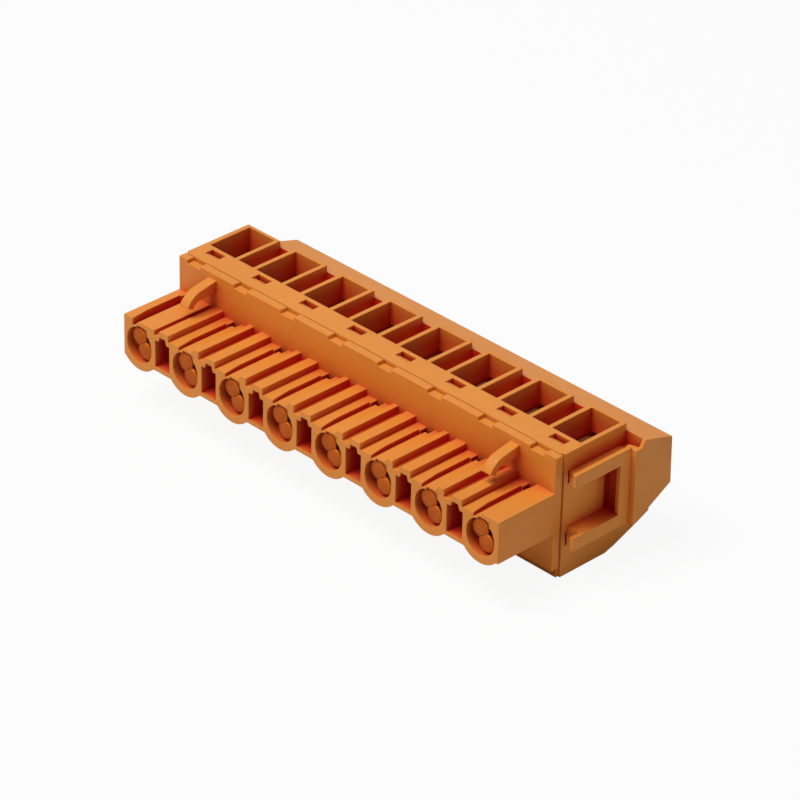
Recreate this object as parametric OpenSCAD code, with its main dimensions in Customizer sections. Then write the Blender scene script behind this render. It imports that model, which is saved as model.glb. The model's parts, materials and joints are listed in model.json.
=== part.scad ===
/* [Row of poles] */
// Distance between neighbouring poles
pitch = 7.62; // [7.4:0.01:8]

/* [Mating tubes] */
// Length of the tubes in front of the wall
tube_len = 8.33; // [7:0.01:10]
// Outer radius of a tube's lower half
tube_r = 3.15; // [3:0.05:3.3]
// Radius of the rounded ends of a tube's opening
hole_r = 2.02; // [1.9:0.01:2.1]
// Half the height by which the opening is stretched
hole_stretch = 0.18; // [0.1:0.01:0.25]
// Height of the key recess above the tube axis
key_top = 2.42; // [2.35:0.01:2.45]
// Right edge of the key recess from the tube axis
key_right = 1.3; // [1:0.05:1.4]
// Bottom face of the webs below the tube axis
web_bottom = 2.1; // [2:0.05:2.4]
// Left flank of the first tube from its axis
flank_left = 2.5; // [2.4:0.05:2.9]
// Right flank of the last tube from its axis
flank_right = 2.66; // [2.4:0.02:2.9]

/* [Top strips of the tubes] */
// Height of the low ground between the strips
ground_top = 2.4; // [2.3:0.05:2.5]
// Height of the left strip
left_strip_top = 2.55; // [2.5:0.05:2.9]
// Height of the middle strip
mid_strip_top = 2.68; // [2.62:0.01:2.9]
// Height of the ridge to the right of the middle strip
ridge_top = 3.3; // [3:0.05:3.6]
// Height of the roof over a coding slot
roof_top = 3.2; // [3:0.05:3.6]
// Height of the flat tops at the two ends of the row
end_top = 2.98; // [2.8:0.02:3.2]
// Left edge of the deep groove from the tube axis
groove_left = -1.4; // [-1.5:0.05:-1.3]
// Left edge of the groove at the tube's mouth
groove_front_left = -1.1; // [-1.3:0.05:-0.9]
// Length over which the groove widens
groove_taper = 2.5; // [1.5:0.1:4]
// Right edge of the deep groove from the tube axis
groove_right = -0.4; // [-0.6:0.05:-0.2]
// Plastic left over the opening under the groove
groove_skin = 0.22; // [0.18:0.02:0.3]
// Length of the break-through at the rear of the groove
vent_len = 0.95; // [0.8:0.05:1.2]
// Left edge of the break-through from the tube axis
vent_left = -1.1; // [-1.25:0.05:-0.9]
// Right edge of the break-through from the tube axis
vent_right = 0.05; // [-0.1:0.05:0.3]

/* [Coding slots] */
// Left edge of a coding slot from the tube axis
slot_left = 2.67; // [2.6:0.01:2.9]
// Width of a coding slot
slot_w = 2.33; // [2:0.01:2.4]
// Bottom of a coding slot below the tube axis
slot_bottom = 1.6; // [1.4:0.05:1.65]
// Top of a coding slot above the tube axis
slot_top = 1.8; // [1.6:0.05:1.9]
// Top of the small notch over a coding slot
slot_notch_top = 2.45; // [2.2:0.05:2.6]
// Depth of a coding slot
slot_depth = 7; // [5:0.1:7.5]

/* [Front wall] */
// Thickness of the wall behind the tubes
wall_t = 1; // [0.9:0.05:1.3]
// Left edge of the wall from the first tube axis
wall_left = 2.53; // [2.4:0.01:2.65]
// Right edge of the wall from the last tube axis
wall_right = 2.6; // [2.4:0.01:2.61]
// Bottom edge of the wall below the tube axis
wall_bottom = 6.72; // [6:0.02:7.6]
// Width of a notch in the top edge
lip_notch_w = 2.1; // [1.6:0.05:2.4]
// Depth of a notch in the top edge
lip_notch_h = 0.42; // [0.3:0.02:0.6]
// Middle of a notch from the tube axis
lip_notch_x = -0.15; // [-0.4:0.05:0.4]

/* [Locking hooks] */
// Distance of each hook from the middle between the hooks
hook_x = 23.52; // [22:0.02:24]
// Shift of the hooks from the middle of the row
hook_shift = -0.21; // [-0.5:0.01:0.5]
// Width of a hook
hook_w = 1.3; // [1:0.05:1.8]
// Height of a hook's back at the wall
hook_top = 6.53; // [6.3:0.01:6.8]
// Slope of a hook's back
hook_slope = 10.5; // [8:0.5:13]
// Distance of a hook's bend from the wall
hook_bend = 1.93; // [1.7:0.01:2.2]
// Outer radius of a hook's bend
hook_back_r = 2.5; // [2.3:0.05:2.7]
// Distance of the inner bend from the wall
hook_inner_bend = 2.28; // [2.1:0.01:2.4]
// Inner radius of a hook's bend
hook_inner_r = 1.3; // [1.1:0.05:1.4]
// Height of a hook's underside at its inner bend
hook_under = 5.03; // [4.9:0.01:5.15]
// Slope of a hook's underside
hook_under_slope = 3; // [0:0.5:5]
// Height of a hook's tip at its inner edge
hook_tip = 4.27; // [4.15:0.01:4.4]
// Slope of the cut end of a hook's tip
hook_tip_slope = 24; // [15:1:30]

/* [Rear housing] */
// Depth of the housing behind the wall
body_len = 14; // [13.6:0.05:15.5]
// Height of the housing above the tube axis
top_h = 7.23; // [7:0.01:8]
// Depth of the housing below the tube axis
bottom_h = 8.05; // [7.8:0.05:9]
// Left end of the housing from the first tube axis
end_left = 2.68; // [2.6:0.01:3]
// Right end of the housing from the last tube axis
end_right = 2.61; // [2.6:0.01:3]
// Distance of the deck's cut-outs from the wall
deck_start = 3.24; // [3.1:0.01:3.6]
// Length of the towers and channels
deck_len = 6.43; // [6.3:0.01:6.6]
// Half the width of a tool window
window_half = 2.06; // [2:0.01:2.1]
// Thickness of the wall behind a tool window
window_back_t = 0.37; // [0.3:0.01:0.5]
// Height of the window floor above the tube axis
chamber_step = 4.3; // [4.25:0.05:4.6]
// Thickness of a tower's side walls
tower_t = 0.55; // [0.5:0.01:0.6]
// Depth of the channels between the towers
channel_deep = 6; // [3:0.1:7]
// Length of the flat part of the bottom behind the wall
flat_len = 7.3; // [6:0.1:8]
// Height by which the bottom rises to the rear
bottom_rise = 2.6; // [1.5:0.1:3]

/* [Test slots] */
// Distance of a test slot from the wall
test_start = 1.52; // [1.2:0.02:1.7]
// Length of a test slot
test_len = 1.2; // [1:0.05:1.3]
// Half the width of a test slot
test_half = 1.07; // [0.8:0.01:1.2]
// Depth of a test slot's ramp at its lower end
test_deep = 0.4; // [0.3:0.02:0.8]
// Length of the slit at the rear of a test slot
slit_len = 0.43; // [0.35:0.01:0.6]

/* [Rear band] */
// Height of the band behind the towers above the tube axis
band_top = 6.42; // [6.2:0.02:6.8]
// Height of the band's rear edge
band_rear_top = 5.18; // [4.8:0.02:5.6]
// Setback of the band's rear edge
band_setback = 0.15; // [0.05:0.05:0.6]
// Left end of the band from the first tube axis
band_left = 0.95; // [0.6:0.05:1.4]
// Right end of the band from the last tube axis
wing_right = 5.45; // [5.2:0.05:5.8]
// Thickness of the wing's end wall
wing_t = 0.45; // [0.4:0.05:0.7]
// Height of the pocket floor in the wing
pocket_floor = 4.7; // [4.2:0.1:5.2]
// Reach of the wing in front of the band
wing_reach = 1.4; // [1:0.05:1.6]
// Lowest point of the wing's front below the tube axis
wing_low = 3.8; // [3.6:0.05:4.2]
// Lowest point of the wing's rear below the tube axis
wing_rear_low = 0.56; // [0.4:0.02:0.8]

/* [End guide] */
// Reach of the guide from the last tube axis
guide_out = 4.75; // [4.5:0.05:4.9]
// Thickness of the guide's lip
guide_lip = 0.5; // [0.4:0.05:0.8]
// Top of the upper arm
guide_top = 5.75; // [5.5:0.05:6]
// Height of an arm's lip
guide_arm = 1.6; // [1.3:0.05:1.8]
// Bottom of the lower arm
guide_bottom = 3.6; // [3.4:0.05:3.8]
// Width of the upright's lip
guide_back = 1.6; // [1.3:0.05:1.9]
// Thickness of the web behind the lip
guide_web = 0.7; // [0.5:0.05:0.9]
// Distance of the webs from the arms' front ends
guide_setback = 1.2; // [0.8:0.1:2]

/* [Wire entries] */
// Half the width of an entry at the rear face
entry_half = 2.1; // [1.8:0.05:2.5]
// Top of an entry below the tube axis
entry_top = 0.9; // [0.8:0.05:1.2]
// Bottom of an entry below the tube axis
entry_bottom = 4.95; // [4.6:0.05:5.1]
// Half the width of an entry at the chamber
throat_half = 1.6; // [1.3:0.05:1.8]
// Top of the throat below the tube axis
throat_top = 1.9; // [1.5:0.05:2.2]
// Bottom of the throat below the tube axis
throat_bottom = 4.6; // [4.2:0.05:4.8]

/* [Clamp chambers] */
// Length of a chamber behind the wall
chamber_len = 10.65; // [10.6:0.05:10.8]
// Floor of a chamber below the tube axis
chamber_floor = 5.5; // [5.3:0.05:5.8]
// Roof of a chamber in front of the tool window
chamber_roof = 4.7; // [4.5:0.05:4.9]
// Length of the seat that carries the current bar
seat_len = 2.7; // [2:0.1:3.2]

/* [Contacts] */
// Radius of a contact tongue
tongue_r = 1.12; // [1.06:0.02:1.16]
// Sheet thickness of a contact tongue
tongue_t = 0.45; // [0.35:0.05:0.6]
// Sideways offset of each tongue from the tube axis
tongue_x = 0.55; // [0.45:0.05:0.6]
// Height of each tongue above or below the tube axis
tongue_z = 0.7; // [0.62:0.01:0.72]
// Gap between the two tongues
tongue_gap = 0.1; // [0.06:0.02:0.2]
// Slope of the gap between the tongues
tongue_tilt = 39; // [32:1:45]
// Setback of the tongues behind the tube mouth
tongue_back = 0.3; // [0.2:0.05:0.6]
// Radius of the domed tips
dome_r = 3; // [2:0.1:4]
// Thickness of the current bar
bar_t = 0.8; // [0.6:0.05:1]
// Width of the current bar
bar_w = 3.9; // [3.5:0.05:4]
// Width of the bar where it passes through the spring
bar_tongue_w = 2.2; // [1.9:0.05:2.3]
// Height of the bar's upper face below the tube axis
bar_top = 1; // [0.95:0.05:1.1]

/* [Clamp springs] */
// Thickness of the spring strip
strip_t = 0.4; // [0.3:0.02:0.45]
// Width of the spring strip
strip_w = 3.7; // [3.3:0.05:3.8]
// Outer radius of the spring's bow
bow_r = 2.55; // [2.5:0.01:2.6]
// Distance of the bow's middle from the wall
bow_start = 3.12; // [3.05:0.01:3.2]
// Slope of the leg that rests on the bar
root_tilt = 16; // [15.5:0.5:20]
// Length of the leg that rests on the bar
root_len = 4; // [3:0.1:4.5]
// Distance of the spring's rear leg from its bow's middle
leg_reach = 6.2; // [6:0.05:6.24]
// Outer radius of the spring's rear bend
bend_r = 1; // [0.8:0.05:1.2]
// Length of the rear leg below the tube axis
leg_low = 3.4; // [3:0.05:3.6]
// Width of the window in the rear leg
leg_window_w = 2.5; // [2.4:0.05:2.6]
// Top of the window in the rear leg
leg_window_top = 1.2; // [1:0.05:1.5]

/* [Fits] */
// Clearance between the bar, its seat and the spring
bar_gap = 0.05; // [0.03:0.01:0.1]
// Width of the seam behind the wall at the two ends
seam_w = 0.35; // [0.15:0.05:0.4]
// Depth of the seam behind the wall
seam_deep = 0.3; // [0.15:0.05:0.4]
// Width of the fine seam across the top
top_seam_w = 0.15; // [0.1:0.01:0.2]
// Depth of the fine seam across the top
top_seam_deep = 0.75; // [0.6:0.05:1]

/* [Hidden] */
$fn = 64;
poles = 8;
over = 0.5;
axis_first = -(poles - 1) / 2 * pitch;
axis_last = -axis_first;
row_left = axis_first - end_left;
row_right = axis_last + end_right;
row_out = axis_last + wing_right;
seam_y = tube_len + wall_t;
depth = seam_y + body_len;
deck_front = seam_y + deck_start;
deck_rear = deck_front + deck_len;
test_front = seam_y + test_start;
wing_front = deck_rear - wing_reach;
chamber_rear = seam_y + chamber_len;
seat_rear = seam_y + seat_len;
bow_y = seam_y + bow_start;
leg_y = bow_y + leg_reach;
wing_x = wing_right - wing_t;
bow_z = bow_r - bar_top + bar_gap;
heel_z = bar_gap - bar_top;
leg_top = bow_z + bow_r;
channel_half = pitch / 2 - window_half - tower_t;
ridge_left = 0.9;
ridge_right = 2.15;
ridge_ramp = 0.5;
roof_left = 3;
roof_right = 4.8;
roof_ramp = 0.4;
notch_left = 0.53;
notch_right = 1.83;
notch_ramp = 0.2;
hook_bend_z = hook_top - hook_back_r / cos(hook_slope) - hook_bend * tan(hook_slope);
bottom_ramp = 1.4;
ramp_foot = 0.4;
ramp_head = 0.65;
wing_round = 0.9;
guide_lead = 0.15;
guide_hollow = 0.35;
guide_hollow_start = 0.9;
recess_wall = 0.4;
recess_floor = 0.3;
recess_shelf = chamber_step + 0.6;
entry_lap = 0.1;
neck_len = 0.5;
neck_half = 1.3;
neck_low = 0.6;
neck_top = 0.4;
neck_lap = 0.2;
neck_end = 0.35;
tongue_end = tube_len - vent_len - neck_lap;
bar_step = 1.6;
bar_end = 0.35;

function pole_x(i) = axis_first + (i - 1) * pitch;

// A prism whose outline lies in the Y-Z plane
module along_x(x0, x1) {
  translate([x0, 0, 0])
    rotate([90, 0, 90])
      linear_extrude(x1 - x0) children();
}

// A prism whose outline lies in the X-Z plane
module along_y(y0, y1) {
  translate([0, y1, 0])
    rotate([90, 0, 0])
      linear_extrude(y1 - y0) children();
}

// A rectangle given by its corners
module area(x0, z0, x1, z1) {
  translate([x0, z0]) square([x1 - x0, z1 - z0]);
}

// A block given by its corners
module block(a, b) {
  translate(a) cube(b - a);
}

// Puts the plug with its flat bottom on the ground, middle over the origin
module placed() {
  translate([-(row_left + row_out) / 2, -depth / 2, bottom_h]) children();
}

// The opening of a tube with its key recess
module tube_opening() {
  translate([0, hole_stretch]) circle(r = hole_r);
  translate([0, -hole_stretch]) circle(r = hole_r);
  area(-hole_r, -hole_stretch, hole_r, hole_stretch);
  area(groove_right, 0, key_right, key_top);
}

// The ridge that follows the middle strip of a tube
module ridge_outline() {
  polygon([
    [ridge_left, 0],
    [ridge_left, mid_strip_top],
    [ridge_left + ridge_ramp, ridge_top],
    [ridge_right, ridge_top],
    [ridge_right, 0]
  ]);
}

// The roof that covers a coding slot
module roof_outline() {
  polygon([
    [slot_left, slot_top],
    [roof_left, ground_top],
    [roof_left + roof_ramp, roof_top],
    [roof_right, roof_top],
    [roof_right, slot_top]
  ]);
}

// Everything solid in the row of tubes, seen from the front
module tube_row_outline() {
  area(axis_first - flank_left, -web_bottom, axis_last + flank_right, ground_top);
  for (i = [1:poles]) {
    translate([pole_x(i), 0]) {
      intersection() {
        circle(r = tube_r);
        area(i == 1 ? -flank_left : -tube_r, -tube_r, i == poles ? flank_right : tube_r, 0);
      }
      area(-flank_left, 0, groove_right, i == 1 ? end_top : left_strip_top);
      area(groove_right, 0, ridge_left, mid_strip_top);
    }
  }
  for (i = [2:poles - 1]) translate([pole_x(i), 0]) ridge_outline();
  for (i = [1:poles - 1]) translate([pole_x(i), 0]) roof_outline();
  translate([axis_first, 0]) area(0, 0, roof_left - ridge_ramp, end_top);
  translate([axis_last, 0]) area(0, 0, flank_right, end_top);
}

// The deep grooves widen behind the mouths and leave a thin skin over the openings
module grooves() {
  difference() {
    linear_extrude(tube_r + over)
      for (i = [1:poles]) {
        translate([pole_x(i), 0])
          polygon([
            [groove_front_left, -over],
            [groove_front_left, 0],
            [groove_left, groove_taper],
            [groove_left, tube_len - vent_len],
            [groove_right, tube_len - vent_len],
            [groove_right, -over]
          ]);
      }
    along_y(-2 * over, tube_len)
      for (i = [1:poles]) translate([pole_x(i), hole_stretch]) circle(r = hole_r + groove_skin);
  }
}

module coding_slots() {
  along_y(-over, slot_depth) {
    for (i = [1:poles - 1]) {
      translate([pole_x(i) + slot_left, 0]) {
        area(0, -slot_bottom, slot_w, slot_top);
        polygon([
          [notch_left, slot_top - over],
          [notch_left, slot_top],
          [notch_left + notch_ramp, slot_notch_top],
          [notch_right - notch_ramp, slot_notch_top],
          [notch_right, slot_top],
          [notch_right, slot_top - over]
        ]);
      }
    }
  }
}

module groove_vents() {
  for (i = [1:poles]) {
    block([pole_x(i) + vent_left, tube_len - vent_len, 0],
          [pole_x(i) + vent_right, tube_len, tube_r + over]);
  }
}

// A hook: a sloping arm whose end bends down to a cut tip
module hook_outline() {
  difference() {
    intersection() {
      translate([tube_len - hook_bend, hook_bend_z]) {
        circle(r = hook_back_r);
        rotate(hook_slope) square([hook_bend + wall_t, hook_back_r]);
      }
      area(tube_len - hook_bend - hook_back_r, hook_bend_z, tube_len + wall_t / 2, top_h);
    }
    translate([tube_len - hook_inner_bend, hook_under - hook_inner_r]) {
      circle(r = hook_inner_r);
      rotate(hook_under_slope)
        translate([0, -hook_back_r]) square([hook_inner_bend + wall_t, hook_back_r + hook_inner_r]);
    }
    translate([tube_len - hook_inner_bend - hook_inner_r, hook_tip])
      rotate(-hook_tip_slope)
        translate([-hook_back_r, -hook_back_r]) square([2 * hook_back_r, hook_back_r]);
  }
}

module front_wall() {
  difference() {
    block([axis_first - wall_left, tube_len, -wall_bottom],
          [axis_last + wall_right, seam_y, top_h]);
    for (i = [1:poles]) {
      block([pole_x(i) + lip_notch_x - lip_notch_w / 2, tube_len - over, top_h - lip_notch_h],
            [pole_x(i) + lip_notch_x + lip_notch_w / 2, seam_y + over, top_h + over]);
    }
  }
}

module front_housing() {
  color("orange")
    placed() {
      difference() {
        union() {
          difference() {
            along_y(0, tube_len) tube_row_outline();
            grooves();
            groove_vents();
          }
          front_wall();
        }
        coding_slots();
        along_y(-over, seam_y + over)
          for (i = [1:poles]) translate([pole_x(i), 0]) tube_opening();
      }
      for (side = [-1, 1])
        along_x(hook_shift + side * hook_x - hook_w / 2, hook_shift + side * hook_x + hook_w / 2)
          hook_outline();
    }
}

// ---- rear housing ----

module body_outline() {
  polygon([
    [seam_y, -bottom_h],
    [seam_y + flat_len, -bottom_h],
    [seam_y + flat_len + bottom_ramp, -bottom_h + ramp_foot],
    [depth - bottom_ramp, -bottom_h + bottom_rise - ramp_head],
    [depth, -bottom_h + bottom_rise],
    [depth, -wing_rear_low],
    [depth - band_setback, band_rear_top],
    [deck_rear, band_top],
    [deck_rear, top_h],
    [seam_y, top_h]
  ]);
}

module wing_outline() {
  polygon([
    [wing_front, -wing_low],
    [depth, -wing_rear_low],
    [depth - band_setback, band_rear_top],
    [deck_rear, band_top],
    [wing_front + wing_round, pocket_floor + wing_round],
    [wing_front, pocket_floor]
  ]);
}

module wing() {
  difference() {
    along_x(row_right, row_out) wing_outline();
    block([row_right, wing_front - over, pocket_floor],
          [axis_last + wing_x, deck_rear, top_h]);
  }
}

// The U of the guide, seen from the right end, with its arms open to the front
module guide_outline(front, arm, back) {
  difference() {
    area(front, -guide_bottom, wing_front, guide_top);
    area(front - over, arm - guide_bottom, wing_front - back, guide_top - arm);
  }
}

// A U-shaped lip that stands off the end face on a narrower web
module end_guide() {
  along_x(axis_last + guide_out - guide_lip, axis_last + guide_out)
    guide_outline(seam_y - guide_lead, guide_arm, guide_back);
  along_x(row_right - over, axis_last + guide_out - guide_lip / 2)
    difference() {
      area(seam_y + guide_setback, guide_arm - guide_bottom - guide_web,
           wing_front + over, guide_top - guide_arm + guide_web);
      area(seam_y, guide_arm - guide_bottom,
           wing_front - guide_web, guide_top - guide_arm);
    }
}

// Shallow hollows in the end face behind the arms' tips and the upright
module guide_hollows() {
  along_x(row_right - guide_hollow, row_right + over) {
    for (z = [guide_top - guide_arm, -guide_bottom])
      area(seam_y + guide_hollow_start, z - guide_web, seam_y + guide_setback, z + guide_arm - guide_web);
    area(wing_front - guide_back, guide_arm - guide_bottom,
         wing_front - guide_web, guide_top - guide_arm);
  }
}

module end_recess() {
  block([row_left - over, chamber_rear + recess_wall, recess_floor],
        [axis_first + band_left, depth + over, top_h]);
  block([row_left - over, deck_rear, recess_shelf],
        [axis_first + band_left, depth + over, top_h + over]);
}

module channels() {
  for (i = [1:poles - 1]) {
    block([pole_x(i) + pitch / 2 - channel_half, deck_front, top_h - channel_deep],
          [pole_x(i) + pitch / 2 + channel_half, deck_rear, top_h + over]);
  }
}

// A test slot: a ramp that leads down to a slit
module test_slots() {
  for (i = [1:poles]) {
    along_x(pole_x(i) - test_half, pole_x(i) + test_half)
      polygon([
        [test_front, top_h + over],
        [test_front, top_h],
        [test_front + test_len - slit_len, top_h - test_deep],
        [test_front + test_len - slit_len, 0],
        [test_front + test_len, 0],
        [test_front + test_len, top_h + over]
      ]);
  }
}

module chamber_outline() {
  area(seam_y - over, -bar_top - bar_t - bar_gap, seat_rear, chamber_roof);
  area(seat_rear - over, -chamber_floor, chamber_rear, chamber_step);
  area(deck_front, chamber_step - over, deck_rear - window_back_t, top_h + over);
}

module chambers() {
  for (i = [1:poles]) along_x(pole_x(i) - window_half, pole_x(i) + window_half) chamber_outline();
}

// The wire entries narrow towards the chambers in both directions
module wire_entries() {
  intersection() {
    along_x(row_left, row_right)
      polygon([
        [chamber_rear - entry_lap, -throat_bottom],
        [depth, -entry_bottom],
        [depth + over, -entry_bottom],
        [depth + over, -entry_top],
        [depth, -entry_top],
        [chamber_rear - entry_lap, -throat_top]
      ]);
    translate([0, 0, -bottom_h])
      linear_extrude(bottom_h)
        for (i = [1:poles]) {
          translate([pole_x(i), 0])
            polygon([
              [-throat_half, chamber_rear - entry_lap],
              [throat_half, chamber_rear - entry_lap],
              [entry_half, depth],
              [entry_half, depth + over],
              [-entry_half, depth + over],
              [-entry_half, depth]
            ]);
        }
  }
}

module seams() {
  for (x = [[row_left, 1], [row_right, -1]]) {
    block([x[0] + min(0, x[1]) * seam_deep - over * max(0, x[1]), seam_y - over, -bottom_h - over],
          [x[0] + max(0, x[1]) * seam_deep, seam_y + seam_w, top_h + over]);
  }
  block([row_left, seam_y - over, top_h - top_seam_deep], [row_right, seam_y + top_seam_w, top_h + over]);
}

module rear_housing() {
  color("darkorange")
    placed() {
      difference() {
        union() {
          along_x(row_left, row_right) body_outline();
          wing();
          end_guide();
        }
        end_recess();
        channels();
        test_slots();
        chambers();
        wire_entries();
        seams();
        guide_hollows();
      }
    }
}

// ---- contacts ----

// One tongue of a contact, above or below the sloping gap
module tongue_outline(side) {
  intersection() {
    translate([-side * tongue_x, side * tongue_z]) circle(r = tongue_r);
    rotate(tongue_tilt)
      translate([-2 * tongue_r, side > 0 ? tongue_gap / 2 : -tongue_gap / 2 - 3 * tongue_r])
        square([4 * tongue_r, 3 * tongue_r]);
  }
}

module tongue(side) {
  difference() {
    intersection() {
      along_y(tongue_back, tongue_end) tongue_outline(side);
      translate([-side * tongue_x, tongue_back + dome_r, side * tongue_z])
        rotate([-90, 0, 0])
          union() {
            sphere(r = dome_r);
            cylinder(r = dome_r, h = tube_len);
          }
    }
    along_y(tongue_back + tongue_r, tongue_end - neck_lap)
      translate([-side * tongue_x, side * tongue_z]) circle(r = tongue_r - tongue_t);
  }
}

module contact(i) {
  color("silver")
    placed()
      translate([pole_x(i), 0, 0]) {
        tongue(1);
        tongue(-1);
        block([-neck_half, tongue_end - neck_len, -bar_top - neck_low],
              [neck_half, seam_y + neck_end, neck_top]);
        block([-bar_w / 2, seam_y + bar_gap, -bar_top - bar_t],
              [bar_w / 2, leg_y - bar_step, -bar_top]);
        block([-bar_tongue_w / 2, leg_y - bar_step - over, -bar_top - bar_t],
              [bar_tongue_w / 2, chamber_rear - bar_end, -bar_top]);
      }
}

// ---- clamp springs ----

module strip_outline() {
  difference() {
    translate([bow_y, bow_z]) circle(r = bow_r);
    translate([bow_y, bow_z]) circle(r = bow_r - strip_t);
    area(bow_y, heel_z, bow_y + 2 * bow_r, leg_top);
  }
  translate([bow_y, heel_z]) rotate(root_tilt) square([root_len, strip_t]);
  area(bow_y, leg_top - strip_t, leg_y - bend_r, leg_top);
  intersection() {
    difference() {
      translate([leg_y - bend_r, leg_top - bend_r]) circle(r = bend_r);
      translate([leg_y - bend_r, leg_top - bend_r]) circle(r = bend_r - strip_t);
    }
    area(leg_y - bend_r, leg_top - bend_r, leg_y, leg_top);
  }
  area(leg_y - strip_t, -leg_low, leg_y, leg_top - bend_r);
}

module clamp_spring(i) {
  color("gray")
    placed()
      translate([pole_x(i), 0, 0])
        difference() {
          along_x(-strip_w / 2, strip_w / 2) strip_outline();
          block([-leg_window_w / 2, leg_y - strip_t - over, -bar_top - bar_t - 2 * bar_gap],
                [leg_window_w / 2, leg_y + over, leg_window_top]);
        }
}

front_housing();
rear_housing();
contact(1);  // contact_1
contact(2);  // contact_2
contact(3);  // contact_3
contact(4);  // contact_4
contact(5);  // contact_5
contact(6);  // contact_6
contact(7);  // contact_7
contact(8);  // contact_8
clamp_spring(1);  // clamp_spring_1
clamp_spring(2);  // clamp_spring_2
clamp_spring(3);  // clamp_spring_3
clamp_spring(4);  // clamp_spring_4
clamp_spring(5);  // clamp_spring_5
clamp_spring(6);  // clamp_spring_6
clamp_spring(7);  // clamp_spring_7
clamp_spring(8);  // clamp_spring_8
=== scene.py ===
import json
from math import cos, pi, radians, sin, sqrt

import bmesh
import bpy
from mathutils import Matrix, Vector


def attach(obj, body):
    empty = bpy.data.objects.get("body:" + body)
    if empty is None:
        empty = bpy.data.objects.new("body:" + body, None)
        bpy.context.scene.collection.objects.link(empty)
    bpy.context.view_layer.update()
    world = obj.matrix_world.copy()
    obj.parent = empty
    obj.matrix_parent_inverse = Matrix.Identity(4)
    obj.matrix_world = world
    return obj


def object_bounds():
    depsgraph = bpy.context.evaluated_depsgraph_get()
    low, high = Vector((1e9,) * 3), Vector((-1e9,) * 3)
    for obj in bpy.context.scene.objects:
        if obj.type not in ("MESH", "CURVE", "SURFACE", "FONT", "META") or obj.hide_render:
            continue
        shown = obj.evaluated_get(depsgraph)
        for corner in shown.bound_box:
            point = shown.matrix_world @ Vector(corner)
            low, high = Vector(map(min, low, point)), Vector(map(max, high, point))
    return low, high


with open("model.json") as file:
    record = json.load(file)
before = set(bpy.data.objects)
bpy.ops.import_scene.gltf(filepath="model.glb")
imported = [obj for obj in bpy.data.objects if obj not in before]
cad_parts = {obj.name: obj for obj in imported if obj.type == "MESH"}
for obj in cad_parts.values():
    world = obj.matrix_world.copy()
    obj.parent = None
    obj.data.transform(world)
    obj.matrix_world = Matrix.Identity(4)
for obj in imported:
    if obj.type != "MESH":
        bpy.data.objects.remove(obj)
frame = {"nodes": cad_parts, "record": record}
MM = 0.001
EDGE_ROUNDING = 0.12 * MM
# Painted shade: the plastics' colour turns to a deep red in recesses, found by ambient occlusion
# within this reach. The shade is full below the first value and absent above the second.
PAINTED_SHADE_REACH = 9 * MM
PAINTED_SHADE_FULL, PAINTED_SHADE_CLEAR = 0.26, 0.66


def plain(corners):
    """The two corners of a box as plain lists."""
    return [[float(v) for v in corner] for corner in corners]


cad_box = plain(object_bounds())
low, high = (Vector(corner) for corner in cad_box)
centre = (low + high) / 2
scene = bpy.context.scene


# ---- node helpers ----

class Graph:
    """A material's node tree, with short ways to add and join nodes."""

    def __init__(self, name):
        self.mat = bpy.data.materials.new(name)
        self.mat.use_nodes = True
        self.tree = self.mat.node_tree
        self.bsdf = self.tree.nodes["Principled BSDF"]
        self.coords = self.add("ShaderNodeTexCoord").outputs["Object"]

    def add(self, kind, **values):
        node = self.tree.nodes.new(kind)
        for key, value in values.items():
            setattr(node, key, value)
        return node

    def link(self, source, target):
        self.tree.links.new(source, target)

    def noise(self, scale, detail=3.0, roughness=0.5, stretch=(1, 1, 1)):
        """Noise whose features are about 1/scale metres wide."""
        mapping = self.add("ShaderNodeMapping")
        mapping.inputs["Scale"].default_value = stretch
        self.link(self.coords, mapping.inputs["Vector"])
        node = self.add("ShaderNodeTexNoise")
        node.inputs["Scale"].default_value = scale
        node.inputs["Detail"].default_value = detail
        node.inputs["Roughness"].default_value = roughness
        self.link(mapping.outputs["Vector"], node.inputs["Vector"])
        return node.outputs["Fac"]

    def spread(self, fac, low, high, start=0.3, end=0.7):
        """Maps a noise's middle range to the range low..high."""
        node = self.add("ShaderNodeMapRange")
        node.inputs["From Min"].default_value = start
        node.inputs["From Max"].default_value = end
        node.inputs["To Min"].default_value = low
        node.inputs["To Max"].default_value = high
        self.link(fac, node.inputs["Value"])
        return node.outputs["Result"]

    def mix(self, fac, first, second):
        """A colour between two colours, each a tuple or a socket."""
        node = self.add("ShaderNodeMix", data_type="RGBA")
        sockets = [s for s in node.inputs if s.type == "RGBA"]
        for socket, value in zip(sockets, (first, second)):
            if isinstance(value, tuple):
                socket.default_value = (*value, 1)
            else:
                self.link(value, socket)
        self.link(fac, node.inputs["Factor"])
        return [s for s in node.outputs if s.type == "RGBA"][0]

    def bump(self, height, distance, strength=1.0, under=None):
        node = self.add("ShaderNodeBump")
        node.inputs["Distance"].default_value = distance
        node.inputs["Strength"].default_value = strength
        self.link(height, node.inputs["Height"])
        if under is not None:
            self.link(under, node.inputs["Normal"])
        return node.outputs["Normal"]


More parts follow.
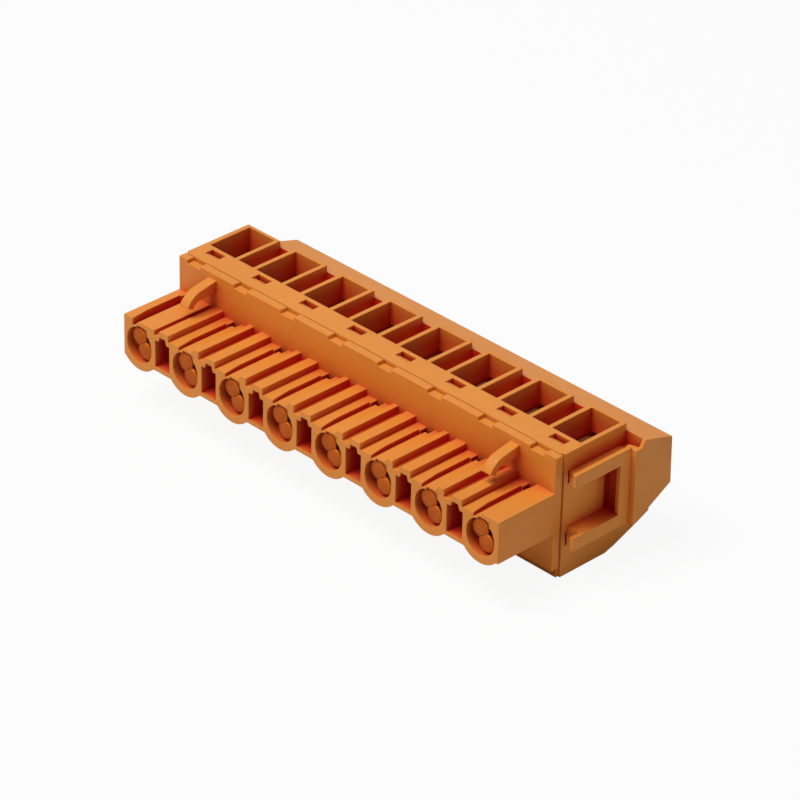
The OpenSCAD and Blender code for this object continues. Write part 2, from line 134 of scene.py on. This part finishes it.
def moulded_plastic(name, painted_shade_colour, dark, light):
    """Satin polyamide: faint flow marks, a fine eroded grain, and painted shade that turns the
    colour to a deep red in recesses, by ambient occlusion.
    """
    g = Graph(name)
    flow = g.spread(g.noise(140, 4, 0.55, (0.35, 1, 1)), 0, 1)
    # Painted shade: an ambient occlusion mask mixes the deep red shade colour into recesses.
    shade_occlusion = g.add("ShaderNodeAmbientOcclusion", samples=12, only_local=True)
    shade_occlusion.inputs["Distance"].default_value = PAINTED_SHADE_REACH
    painted_shade_amount = g.spread(shade_occlusion.outputs["AO"], 0, 1, PAINTED_SHADE_FULL, PAINTED_SHADE_CLEAR)
    g.link(g.mix(painted_shade_amount, painted_shade_colour, g.mix(flow, dark, light)), g.bsdf.inputs["Base Color"])
    g.link(g.spread(g.noise(900, 2), 0.42, 0.54), g.bsdf.inputs["Roughness"])
    edges = g.add("ShaderNodeBevel", samples=8)
    edges.inputs["Radius"].default_value = EDGE_ROUNDING
    grain = g.bump(g.noise(9000, 3), 0.006 * MM, 0.8, edges.outputs["Normal"])
    g.link(g.bump(g.noise(350, 2), 0.03 * MM, 0.6, grain), g.bsdf.inputs["Normal"])
    g.bsdf.inputs["IOR"].default_value = 1.45
    g.bsdf.inputs["Specular IOR Level"].default_value = 0.36
    g.bsdf.inputs["Subsurface Weight"].default_value = 0.1
    g.bsdf.inputs["Subsurface Radius"].default_value = (1.0, 0.35, 0.1)
    g.bsdf.inputs["Subsurface Scale"].default_value = 0.4 * MM
    return g.mat


def strip_metal(name, dark, light, roughness, stretch):
    """Rolled sheet metal: streaks along the strip and a slightly uneven surface."""
    g = Graph(name)
    streaks = g.spread(g.noise(900, 4, 0.6, stretch), 0, 1)
    g.link(g.mix(streaks, dark, light), g.bsdf.inputs["Base Color"])
    g.link(g.spread(g.noise(1500, 3, 0.6, stretch), roughness - 0.07, roughness + 0.07),
           g.bsdf.inputs["Roughness"])
    g.link(g.bump(g.noise(2500, 3, 0.6, stretch), 0.004 * MM, 0.8), g.bsdf.inputs["Normal"])
    g.bsdf.inputs["Metallic"].default_value = 1
    return g.mat


# The first colour of each plastic is its painted shade colour for recesses.
MATERIALS = {
    "front_plastic": moulded_plastic("front_plastic", (0.55, 0.020, 0.008),
                                     (0.73, 0.238, 0.028), (0.79, 0.270, 0.037)),
    "rear_plastic": moulded_plastic("rear_plastic", (0.55, 0.020, 0.008),
                                    (0.73, 0.248, 0.031), (0.79, 0.282, 0.040)),
    "contact_copper": strip_metal("contact_copper", (0.44, 0.095, 0.012), (0.56, 0.130, 0.018),
                                  0.55, (1, 0.08, 1)),
    "spring_steel": strip_metal("spring_steel", (0.44, 0.27, 0.11), (0.58, 0.37, 0.17),
                                0.45, (1, 0.08, 1)),
}

for part in frame["record"]["subparts"]:
    node = frame["nodes"][part["node"]]
    node.data.materials.clear()
    node.data.materials.append(MATERIALS[part["material_slot"]])


# ---- small forms added to the solids ----

# Places from the record: where each pole is along the row, and the height of the tubes' axis.
POLES = [joint["pos_m"][0] for joint in frame["record"]["behaviour"]["joints"]]
MOUNTS = {mount["name"]: mount["pos_m"] for mount in frame["record"]["mounts"]}
AXIS_HEIGHT = MOUNTS["mating_tubes"][2]

# Millimetres from the middle of a tube's mouth. An outline's points are in the two axes across
# the one that it is pushed along.
FORM_ROUNDING = 0.04
SHELF_OUTLINE = [(-0.35, 1.0), (1.35, 1.15), (1.35, 2.47), (-0.35, 2.47)]
SHELF_FRONT, SHELF_BACK = 0.5, 0.95
RIM_OUTLINE = [(3.95, 17.61), (5.44, 17.61), (5.44, 19.3), (5.0, 19.3), (5.0, 18.35), (3.95, 18.1)]
RIM_LOW, RIM_TOP = 4.5, 5.6
CHANNEL_FLOOR = [(12.5, 1.3), (19.1, 1.3), (19.1, 4.85), (18.8, 4.75), (12.9, 4.75), (12.5, 4.85)]
CHANNEL_LEFT, CHANNEL_RIGHT = 2.59, 5.03

# The two tongues of a contact meet on a sloping line. Each has a middle, a radius and a side.
TIP_FRONT, TIP_EDGE, TIP_DOME = 0.15, 0.3, 3.0
TIP_RINGS, TIP_SEGMENTS = 6, 40
TIP_MEETING = Vector((0.08, 0, 0.1))
TIP_SPLIT = Vector((-0.507, 0, 0.862))
TIP_GAP = 0.015
TIPS = {"upper": (Vector((-0.34, 0, 0.86)), 1.16, 1), "lower": (Vector((0.62, 0, -0.6)), 1.1, -1)}


def pole_frame(number):
    """The middle of a tube's mouth, from where the small forms are placed in millimetres."""
    return Vector((POLES[number - 1], low.y, AXIS_HEIGHT))


def finished(name, shape, slot_name):
    """Turns mesh code into a piece of the plug with the finish of a slot."""
    bmesh.ops.recalc_face_normals(shape, faces=shape.faces)
    mesh = bpy.data.meshes.new(name)
    shape.to_mesh(mesh)
    shape.free()
    mesh.materials.append(MATERIALS[slot_name])
    obj = bpy.data.objects.new(name, mesh)
    scene.collection.objects.link(obj)
    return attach(obj, "plug")


def prism(outline, start, end, axis):
    """An outline in the two other axes, pushed along one axis, with softened edges."""
    corner = {"x": lambda a, b, t: (t, a, b),
              "y": lambda a, b, t: (a, t, b),
              "z": lambda a, b, t: (a, b, t)}[axis]
    shape = bmesh.new()
    ends = [[shape.verts.new(corner(a, b, t)) for a, b in outline] for t in (start, end)]
    for ring in ends:
        shape.faces.new(ring)
    for k in range(len(outline)):
        shape.faces.new((ends[0][k - 1], ends[0][k], ends[1][k], ends[1][k - 1]))
    bmesh.ops.bevel(shape, geom=shape.edges[:], offset=FORM_ROUNDING, segments=2,
                    affect="EDGES", profile=0.5)
    return shape


def placed(shape, number):
    """Brings a form from millimetres at a pole to metres in the frame."""
    bmesh.ops.transform(shape, matrix=Matrix.Translation(pole_frame(number)) @ Matrix.Scale(MM, 4),
                        verts=shape.verts)
    return shape


def tip_form(middle, radius, side):
    """The domed end of a tongue, cut straight where it meets its twin."""
    shape = bmesh.new()
    loops = []
    for k in range(1, TIP_RINGS + 1):
        reach = radius * k / TIP_RINGS
        sag = TIP_DOME - sqrt(TIP_DOME ** 2 - reach ** 2)
        loops.append((reach, TIP_FRONT + sag))
    loops.append((radius, loops[-1][1] + TIP_EDGE))
    grid = [[shape.verts.new((middle.x + reach * cos(2 * pi * j / TIP_SEGMENTS), y,
                              middle.z + reach * sin(2 * pi * j / TIP_SEGMENTS)))
             for j in range(TIP_SEGMENTS)] for reach, y in loops]
    shape.faces.new(grid[0])
    shape.faces.new(grid[-1])
    for inner, outer in zip(grid, grid[1:]):
        for j in range(TIP_SEGMENTS):
            shape.faces.new((inner[j - 1], inner[j], outer[j], outer[j - 1]))
    cut = bmesh.ops.bisect_plane(shape, geom=shape.verts[:] + shape.edges[:] + shape.faces[:],
                                 plane_co=TIP_MEETING + TIP_SPLIT * side * TIP_GAP,
                                 plane_no=TIP_SPLIT * side, clear_inner=True)
    rim = [edge for edge in cut["geom_cut"] if isinstance(edge, bmesh.types.BMEdge)]
    bmesh.ops.holes_fill(shape, edges=rim)
    for face in shape.faces:
        face.smooth = face.calc_center_median().y < TIP_FRONT + TIP_EDGE
    return shape


for number in range(1, len(POLES) + 1):
    shelf = prism(SHELF_OUTLINE, SHELF_FRONT, SHELF_BACK, "y")
    finished(f"mouth_shelf_{number}", placed(shelf, number), "front_plastic")
    for side, (middle, radius, way) in TIPS.items():
        tip = tip_form(middle, radius, way)
        finished(f"contact_tip_{number}_{side}", placed(tip, number), "contact_copper")

for number in range(1, len(POLES)):
    floor_form = prism(CHANNEL_FLOOR, CHANNEL_LEFT, CHANNEL_RIGHT, "x")
    finished(f"channel_floor_{number}", placed(floor_form, number), "rear_plastic")

rim_form = prism(RIM_OUTLINE, RIM_LOW, RIM_TOP, "z")
finished("wing_pocket_rim", placed(rim_form, len(POLES)), "rear_plastic")


# ---- studio ----

FLOOR_SIZE = 4.0
FLOOR_GREY = (0.72, 0.72, 0.72)
FLOOR_SHOWN_WHITE = 0.92
SKY_LIGHT = 0.15
SKY_SEEN = 1.0
WHITE = (1, 1, 1)


def studio_white(name, base, shown_white):
    """A pale surface that the camera sees as nearly white, with the object's shadow kept faint."""
    g = Graph(name)
    g.bsdf.inputs["Roughness"].default_value = 0.9
    g.link(g.mix(g.spread(g.noise(40, 2), 0, 1), base, tuple(v * 0.985 for v in base)),
           g.bsdf.inputs["Base Color"])
    glow = g.add("ShaderNodeEmission")
    paths = g.add("ShaderNodeLightPath")
    share = g.spread(paths.outputs["Is Camera Ray"], 0, shown_white, 0, 1)
    joined = g.add("ShaderNodeMixShader")
    g.link(share, joined.inputs["Fac"])
    g.link(g.bsdf.outputs["BSDF"], joined.inputs[1])
    g.link(glow.outputs["Emission"], joined.inputs[2])
    g.link(joined.outputs["Shader"], g.tree.nodes["Material Output"].inputs["Surface"])
    return g.mat


bpy.ops.mesh.primitive_plane_add(size=FLOOR_SIZE, location=(centre.x, centre.y, low.z))
floor = bpy.context.object
floor.name = "floor"
floor.data.materials.append(studio_white("floor_white", FLOOR_GREY, FLOOR_SHOWN_WHITE))

# The sky lights matt surfaces faintly, and is plain white to the camera and in reflections.
world = bpy.data.worlds.new("studio")
world.use_nodes = True
scene.world = world
tree = world.node_tree
background = tree.nodes["Background"]
seen = tree.nodes.new("ShaderNodeBackground")
paths = tree.nodes.new("ShaderNodeLightPath")
choose = tree.nodes.new("ShaderNodeMixShader")
background.inputs["Color"].default_value = (*WHITE, 1)
background.inputs["Strength"].default_value = SKY_LIGHT
seen.inputs["Color"].default_value = (*WHITE, 1)
seen.inputs["Strength"].default_value = SKY_SEEN
diffuse = paths.outputs["Is Diffuse Ray"]
tree.links.new(diffuse, choose.inputs["Fac"])
tree.links.new(seen.outputs["Background"], choose.inputs[1])
tree.links.new(background.outputs["Background"], choose.inputs[2])
tree.links.new(choose.outputs["Shader"], tree.nodes["World Output"].inputs["Surface"])


def lamp(name, azimuth, elevation, distance, size, power):
    """A square soft lamp that looks at the object's middle."""
    data = bpy.data.lights.new(name, "AREA")
    data.size = size
    data.energy = power
    obj = bpy.data.objects.new(name, data)
    away = Vector((sin(radians(azimuth)) * cos(radians(elevation)),
                   -cos(radians(azimuth)) * cos(radians(elevation)),
                   sin(radians(elevation))))
    obj.location = centre + away * distance
    obj.rotation_euler = away.to_track_quat("Z", "Y").to_euler()
    scene.collection.objects.link(obj)


lamp("key", -22, 66, 0.6, 0.30, 3.2)
lamp("fill", 88, 16, 0.8, 0.4, 0.5)

# ---- camera ----

CAMERA_AZIMUTH = 44.818
CAMERA_ELEVATION = 31.096
CAMERA_ROLL = 1.427
CAMERA_DISTANCE = 0.4687
CAMERA_LENS = 193.54
CAMERA_AIM = low + Vector((29.35, 10.0, 8.05)) * MM
CAMERA_SLIDE = Vector((3.20, 0.667)) * MM


def photo_camera():
    """The camera at the photograph's place, with the row of tubes running down to the right."""
    az, el, roll = (radians(v) for v in (CAMERA_AZIMUTH, CAMERA_ELEVATION, CAMERA_ROLL))
    back = Vector((sin(az) * cos(el), -cos(az) * cos(el), sin(el)))
    right = Vector((cos(az), sin(az), 0))
    up = back.cross(right)
    place = CAMERA_AIM + back * CAMERA_DISTANCE + right * CAMERA_SLIDE.x + up * CAMERA_SLIDE.y
    tilted_right = right * cos(roll) + up * sin(roll)
    tilted_up = up * cos(roll) - right * sin(roll)
    turn = Matrix((tilted_right, tilted_up, back)).transposed()
    data = bpy.data.cameras.new("photo_camera")
    data.lens = CAMERA_LENS
    data.sensor_width = 36
    data.clip_start = 0.01
    camera = bpy.data.objects.new("photo_camera", data)
    camera.matrix_world = Matrix.Translation(place) @ turn.to_4x4()
    scene.collection.objects.link(camera)
    return camera


scene.camera = photo_camera()
scene.view_settings.view_transform = "Standard"
